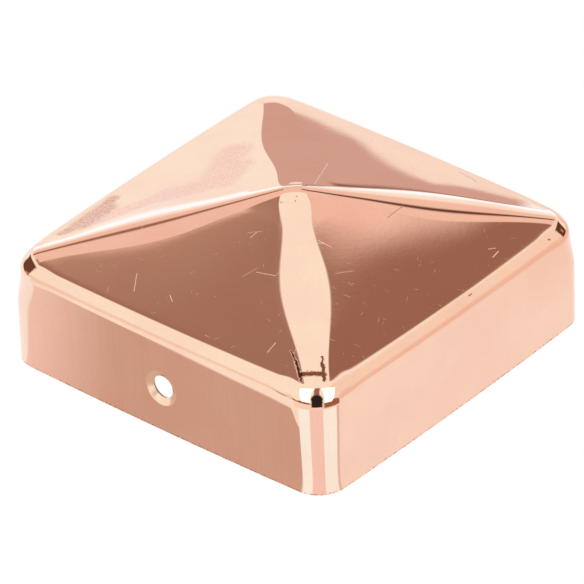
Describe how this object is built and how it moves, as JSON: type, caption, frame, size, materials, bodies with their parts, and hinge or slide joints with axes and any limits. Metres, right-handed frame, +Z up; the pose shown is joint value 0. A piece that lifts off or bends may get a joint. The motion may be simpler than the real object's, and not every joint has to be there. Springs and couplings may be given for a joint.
{
  "type": "post cap",
  "caption": "Square pyramid post cap pressed from polished copper sheet, with a rounded eave and dimpled screw holes in opposite skirts, to slip over a square timber post.",
  "frame": {"origin": "centre of the open mouth, in the plane of the rim", "axes": "+Z up towards the point of the pyramid; the skirts with the screw holes look along -Y and +Y"},
  "size_m": [0.073, 0.073, 0.0308],
  "materials": {
    "copper": "polished bare copper with fine scratches"
  },
  "bodies": {
    "root": {"post_cap": "copper"}
  },
  "joints": []
}
